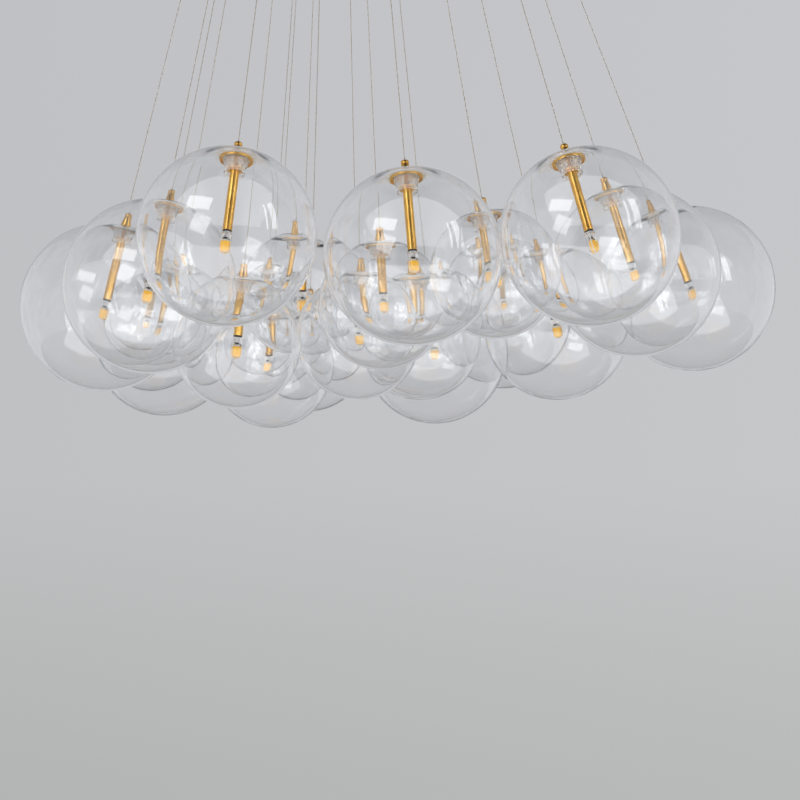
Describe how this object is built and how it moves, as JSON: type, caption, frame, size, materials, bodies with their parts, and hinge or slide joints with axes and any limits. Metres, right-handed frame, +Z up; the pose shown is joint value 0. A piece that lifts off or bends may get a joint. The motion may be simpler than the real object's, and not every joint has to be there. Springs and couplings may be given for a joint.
{
  "type": "cluster pendant",
  "caption": "Ceiling pendant of clear glass globes on thin cables that fan out from one round canopy, each with a brass cap, tube and small low-voltage bulb",
  "frame": {"origin": "centre of the ceiling face, midway between the two screw slots", "axes": "+Z up into the ceiling, +X to the right and along the bracket, +Y away from the viewer"},
  "size_m": [0.905, 1.225, 0.915],
  "materials": {
    "clear_glass": "clear blown glass, smooth",
    "bulb_glass": "clear glass capsule",
    "brass": "polished brass",
    "brushed_brass": "satin brushed brass",
    "cable_jacket": "thin pale clear jacket",
    "clear_plastic": "clear moulded plastic",
    "clear_rubber": "pale translucent silicone",
    "black_plastic": "matt black",
    "phosphor": "yellow phosphor coat, unlit",
    "white_plastic": "matt white",
    "zinc_steel": "zinc plated"
  },
  "bodies": {
    "root": {"ceiling_bracket": "zinc_steel", "canopy_pan": "brushed_brass", "canopy_screws": "brass", "cable_grips": "brass", "distribution_hub": "white_plastic", "led_driver": "white_plastic", "mains_terminal": "black_plastic", "inner_leads": "cable_jacket"},
    "drop_01": {"globe_01": "clear_glass", "cable_01": "cable_jacket", "cap_01": "brass", "core_01": "brass", "closing_disc_01": "brass", "gasket_01": "clear_rubber", "collar_01": "clear_plastic", "lower_disc_01": "brass", "lamp_tube_01": "brass", "lamp_holder_01": "black_plastic"},
    "bulb_01": {"bulb_glass_01": "bulb_glass", "bulb_works_01": "phosphor"},
    "drop_02": {"globe_02": "clear_glass", "hanger_02": "brass"},
    "drop_03": {"globe_03": "clear_glass", "hanger_03": "brass"},
    "drop_04": {"globe_04": "clear_glass", "hanger_04": "brass"},
    "drop_05": {"globe_05": "clear_glass", "hanger_05": "brass"},
    "drop_06": {"globe_06": "clear_glass", "hanger_06": "brass"},
    "drop_07": {"globe_07": "clear_glass", "hanger_07": "brass"},
    "drop_08": {"globe_08": "clear_glass", "hanger_08": "brass"},
    "drop_09": {"globe_09": "clear_glass", "hanger_09": "brass"},
    "drop_10": {"globe_10": "clear_glass", "hanger_10": "brass"},
    "drop_11": {"globe_11": "clear_glass", "hanger_11": "brass"},
    "drop_12": {"globe_12": "clear_glass", "hanger_12": "brass"},
    "drop_13": {"globe_13": "clear_glass", "hanger_13": "brass"},
    "drop_14": {"globe_14": "clear_glass", "hanger_14": "brass"},
    "drop_15": {"globe_15": "clear_glass", "hanger_15": "brass"},
    "drop_16": {"globe_16": "clear_glass", "hanger_16": "brass"},
    "drop_17": {"globe_17": "clear_glass", "hanger_17": "brass"},
    "drop_18": {"globe_18": "clear_glass", "hanger_18": "brass"},
    "drop_19": {"globe_19": "clear_glass", "hanger_19": "brass"},
    "drop_20": {"globe_20": "clear_glass", "hanger_20": "brass"},
    "drop_21": {"globe_21": "clear_glass", "hanger_21": "brass"}
  },
  "joints": [
    {"name": "turn_01", "type": "hinge", "parent": "root", "child": "drop_01", "pos_m": [0.03449, -0.15905, -0.057], "axis": [-0.0779, 0.359, 0.9301], "range_deg": [-180, 180]},
    {"name": "bulb_pull_01", "type": "slide", "parent": "drop_01", "child": "bulb_01", "axis": [0.0779, -0.359, -0.9301], "range_m": [0, 0.008]},
    {"name": "swing_02", "type": "hinge", "parent": "root", "child": "drop_02", "pos_m": [-0.04491, -0.18159, -0.057], "axis": [-0.9708, 0.2401, 0], "range_deg": [0, 30]},
    {"name": "swing_03", "type": "hinge", "parent": "root", "child": "drop_03", "pos_m": [0.1113, -0.18159, -0.057], "axis": [-0.8526, -0.5226, 0], "range_deg": [0, 30]},
    {"name": "swing_04", "type": "hinge", "parent": "root", "child": "drop_04", "pos_m": [-0.0783, -0.10626, -0.057], "axis": [0, 1, 0], "range_deg": [0, 30]},
    {"name": "swing_05", "type": "hinge", "parent": "root", "child": "drop_05", "pos_m": [-0.10071, -0.0293, -0.057], "axis": [0, 1, 0], "range_deg": [0, 30]},
    {"name": "swing_06", "type": "hinge", "parent": "root", "child": "drop_06", "pos_m": [0.1329, -0.06455, -0.057], "axis": [-0.4369, -0.8995, 0], "range_deg": [0, 30]},
    {"name": "swing_07", "type": "hinge", "parent": "root", "child": "drop_07", "pos_m": [0.16106, 0.01311, -0.057], "axis": [0.0811, -0.9967, 0], "range_deg": [0, 30]},
    {"name": "swing_08", "type": "hinge", "parent": "root", "child": "drop_08", "pos_m": [-0.07957, 0.1167, -0.057], "axis": [0, 1, 0], "range_deg": [0, 30]},
    {"name": "swing_09", "type": "hinge", "parent": "root", "child": "drop_09", "pos_m": [0.09715, 0.05937, -0.057], "axis": [0.5214, -0.8533, 0], "range_deg": [0, 30]},
    {"name": "swing_10", "type": "hinge", "parent": "root", "child": "drop_10", "pos_m": [0.07657, 0.16225, -0.057], "axis": [0.9044, -0.4268, 0], "range_deg": [0, 30]},
    {"name": "turn_11", "type": "hinge", "parent": "root", "child": "drop_11", "pos_m": [0.04208, 0.10168, -0.057], "axis": [-0.0987, -0.2384, 0.9661], "range_deg": [-180, 180]},
    {"name": "turn_12", "type": "hinge", "parent": "root", "child": "drop_12", "pos_m": [0.06993, -0.09072, -0.057], "axis": [-0.1635, 0.2121, 0.9635], "range_deg": [-180, 180]},
    {"name": "turn_13", "type": "hinge", "parent": "root", "child": "drop_13", "pos_m": [0.02014, -0.06043, -0.057], "axis": [-0.0483, 0.1449, 0.9883], "range_deg": [-180, 180]},
    {"name": "turn_14", "type": "hinge", "parent": "root", "child": "drop_14", "pos_m": [-0.0405, -0.05106, -0.057], "axis": [0.0971, 0.1224, 0.9877], "range_deg": [-180, 180]},
    {"name": "turn_15", "type": "hinge", "parent": "root", "child": "drop_15", "pos_m": [0.00888, -0.00533, -0.057], "axis": [-0.0215, 0.0129, 0.9997], "range_deg": [-180, 180]},
    {"name": "swing_16", "type": "hinge", "parent": "root", "child": "drop_16", "pos_m": [-0.0167, 0.04269, -0.057], "axis": [0, 1, 0], "range_deg": [0, 30]},
    {"name": "turn_17", "type": "hinge", "parent": "root", "child": "drop_17", "pos_m": [0.03552, 0.04262, -0.057], "axis": [-0.0854, -0.1025, 0.9911], "range_deg": [-180, 180]},
    {"name": "turn_18", "type": "hinge", "parent": "root", "child": "drop_18", "pos_m": [-0.02931, 0.08274, -0.057], "axis": [0.0696, -0.1964, 0.978], "range_deg": [-180, 180]},
    {"name": "turn_19", "type": "hinge", "parent": "root", "child": "drop_19", "pos_m": [-0.03404, 0.15763, -0.057], "axis": [0.0769, -0.3563, 0.9312], "range_deg": [-180, 180]},
    {"name": "swing_20", "type": "hinge", "parent": "root", "child": "drop_20", "pos_m": [-0.09096, 0.17836, -0.057], "axis": [0.8908, 0.4543, 0], "range_deg": [0, 30]},
    {"name": "swing_21", "type": "hinge", "parent": "root", "child": "drop_21", "pos_m": [-0.01578, 0.20512, -0.057], "axis": [0.9971, 0.0767, 0], "range_deg": [0, 30]}
  ]
}
